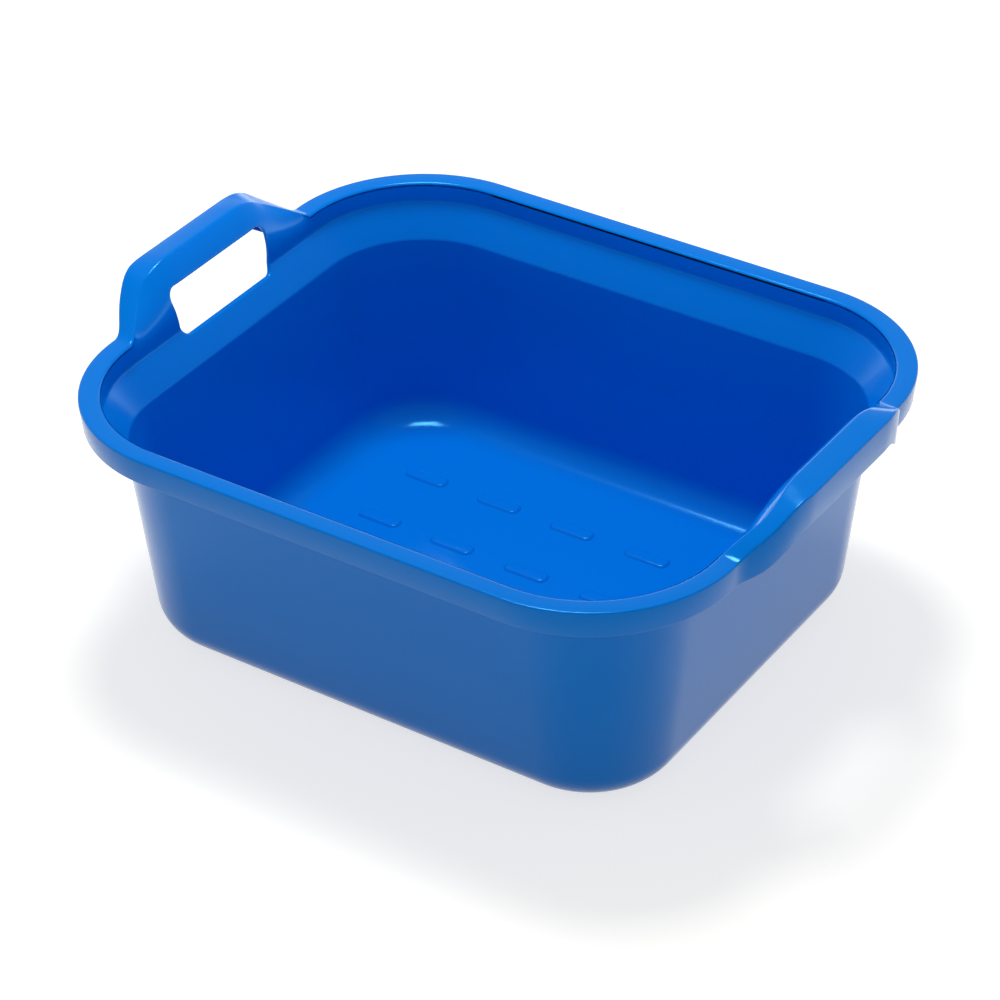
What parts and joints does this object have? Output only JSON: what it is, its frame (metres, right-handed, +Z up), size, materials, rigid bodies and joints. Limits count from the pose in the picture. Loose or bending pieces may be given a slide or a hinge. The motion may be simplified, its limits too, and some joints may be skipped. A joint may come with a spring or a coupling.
{
  "type": "washing up bowl",
  "caption": "Blue plastic washing up bowl: rounded oblong, tapered walls, skirted rim and a slotted raised carry handle at each short end",
  "frame": {"origin": "centre of the foot ring, on the surface the bowl stands on", "axes": "+X along the bowl towards one carry handle, +Y across it, +Z up out of the bowl"},
  "size_m": [0.425, 0.34, 0.1752],
  "materials": {
    "bowl_plastic": "smooth semi-gloss polypropylene"
  },
  "bodies": {
    "root": {"bowl": "bowl_plastic"}
  },
  "joints": []
}
